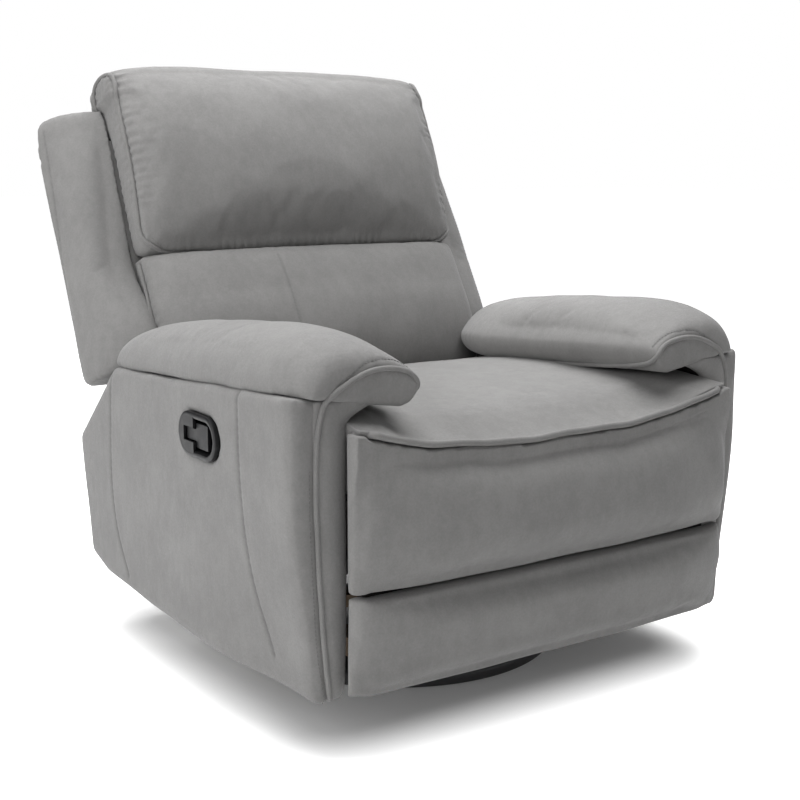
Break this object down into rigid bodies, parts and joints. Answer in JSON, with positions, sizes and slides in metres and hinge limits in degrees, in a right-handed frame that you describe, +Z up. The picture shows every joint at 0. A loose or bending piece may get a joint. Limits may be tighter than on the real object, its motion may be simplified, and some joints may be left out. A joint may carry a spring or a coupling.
{
  "type": "swivel rocker recliner",
  "caption": "upholstered swivel rocker recliner with padded arms, side release lever, reclining back, fold-out footrest and a round floor base",
  "frame": {"origin": "on the floor, on the swivel axis, at the centre of the underside of the floor pad", "axes": "+Z up, the sitter faces -Y, +X is the sitter's left, the lever is on -X"},
  "size_m": [0.8924, 1.0022, 1.0175],
  "materials": {
    "upholstery": "mottled grey brushed suede-look upholstery",
    "rubber_pad": "matte black rubber",
    "black_enamel": "satin black enamel on steel",
    "bare_steel": "zinc plated steel",
    "frame_wood": "unfinished plywood and hardwood",
    "stained_wood": "black stained plywood",
    "black_plastic": "fine grained black moulded plastic",
    "cable_sheath": "black cable sheath"
  },
  "bodies": {
    "base": {"floor_pad": "rubber_pad", "base_disc": "black_enamel", "swivel_lower_plate": "bare_steel", "bearing_balls": "bare_steel", "king_pin": "bare_steel", "king_pin_nut": "bare_steel"},
    "turntable": {"swivel_upper_plate": "bare_steel", "cross_beams": "black_enamel", "rocker_rail_left": "frame_wood", "rocker_rail_right": "frame_wood", "spring_seats": "black_enamel", "rocker_springs": "bare_steel"},
    "chair_frame": {"rocker_cam_left": "frame_wood", "rocker_cam_right": "frame_wood", "cam_cross_rails": "frame_wood", "spring_tops": "black_enamel", "arm_frame_left": "stained_wood", "arm_frame_right": "stained_wood", "arm_side_left": "upholstery", "arm_side_right": "upholstery", "arm_top_left": "upholstery", "arm_top_right": "upholstery", "arm_front_left": "upholstery", "arm_front_right": "upholstery", "glide_tracks": "black_enamel", "rear_rail": "stained_wood", "rear_cover": "upholstery", "back_pivot_pins": "bare_steel", "lever_cup": "black_plastic", "lever_pin": "bare_steel", "release_cable": "cable_sheath", "footrest_latch": "black_enamel"},
    "seat": {"seat_side_rails": "stained_wood", "seat_front_rail": "stained_wood", "seat_rear_rail": "frame_wood", "seat_springs": "bare_steel", "seat_cushion": "upholstery", "mechanism_plates": "black_enamel"},
    "swing_links": {"footrest_swing_links": "black_enamel", "footrest_torque_tube": "black_enamel"},
    "idler_links": {"footrest_idler_links": "black_enamel"},
    "long_links": {"footrest_long_links": "black_enamel"},
    "upper_links": {"footrest_upper_links": "black_enamel"},
    "footrest": {"footrest_brackets": "black_enamel", "footrest_board": "stained_wood", "footrest_upper_pad": "upholstery", "footrest_lower_panel": "upholstery"},
    "back": {"back_post_left": "stained_wood", "back_post_right": "stained_wood", "back_top_rail": "stained_wood", "back_middle_rail": "frame_wood", "back_bottom_rail": "frame_wood", "back_hinge_brackets": "black_enamel", "outer_back_cover": "upholstery", "back_wing_left": "upholstery", "back_wing_right": "upholstery", "lumbar_cushion": "upholstery", "head_cushion": "upholstery"},
    "release_lever": {"release_paddle": "black_plastic"}
  },
  "joints": [
    {"name": "swivel", "type": "hinge", "parent": "base", "child": "turntable", "pos_m": [0, 0, 0.035], "axis": [0, 0, 1], "continuous": true},
    {"name": "rock", "type": "hinge", "parent": "turntable", "child": "chair_frame", "pos_m": [0, 0, 0.475], "axis": [1, 0, 0], "range_deg": [-6, 6], "stiffness_Nm_per_rad": 1400, "deforming": ["rocker_springs"]},
    {"name": "recline", "type": "hinge", "parent": "chair_frame", "child": "back", "pos_m": [0, 0.25, 0.26], "axis": [-1, 0, 0], "range_deg": [0, 33]},
    {"name": "seat_glide", "type": "slide", "parent": "chair_frame", "child": "seat", "axis": [0, -1, 0], "range_m": [0, 0.03]},
    {"name": "footrest_swing", "type": "hinge", "parent": "seat", "child": "swing_links", "pos_m": [0, -0.2615, 0.317], "axis": [-1, 0, 0], "range_deg": [0, 88]},
    {"name": "footrest_idle", "type": "hinge", "parent": "seat", "child": "idler_links", "pos_m": [0, -0.3165, 0.307], "axis": [-1, 0, 0], "range_deg": [0, 88]},
    {"name": "footrest_carry", "type": "hinge", "parent": "swing_links", "child": "long_links", "pos_m": [0, -0.12, 0.112], "axis": [1, 0, 0], "range_deg": [0, 88]},
    {"name": "footrest_steady", "type": "hinge", "parent": "swing_links", "child": "upper_links", "pos_m": [0, -0.14724, 0.15146], "axis": [1, 0, 0], "range_deg": [0, 88]},
    {"name": "footrest_tilt", "type": "hinge", "parent": "long_links", "child": "footrest", "pos_m": [0, -0.36, 0.285], "axis": [-1, 0, 0], "range_deg": [0, 88]},
    {"name": "lever_pull", "type": "hinge", "parent": "chair_frame", "child": "release_lever", "pos_m": [-0.4343, -0.081, 0.434], "axis": [0, 0, -1], "range_deg": [0, 30], "stiffness_Nm_per_rad": 0.6, "springref_deg": -5.73}
  ],
  "couplings": [
    {"joint": "seat_glide", "follows": "recline", "m_per_rad": 0.052},
    {"joint": "footrest_idle", "follows": "footrest_swing", "ratio": 1},
    {"joint": "footrest_carry", "follows": "footrest_swing", "ratio": 1},
    {"joint": "footrest_steady", "follows": "footrest_swing", "ratio": 1},
    {"joint": "footrest_tilt", "follows": "footrest_swing", "ratio": 1}
  ]
}
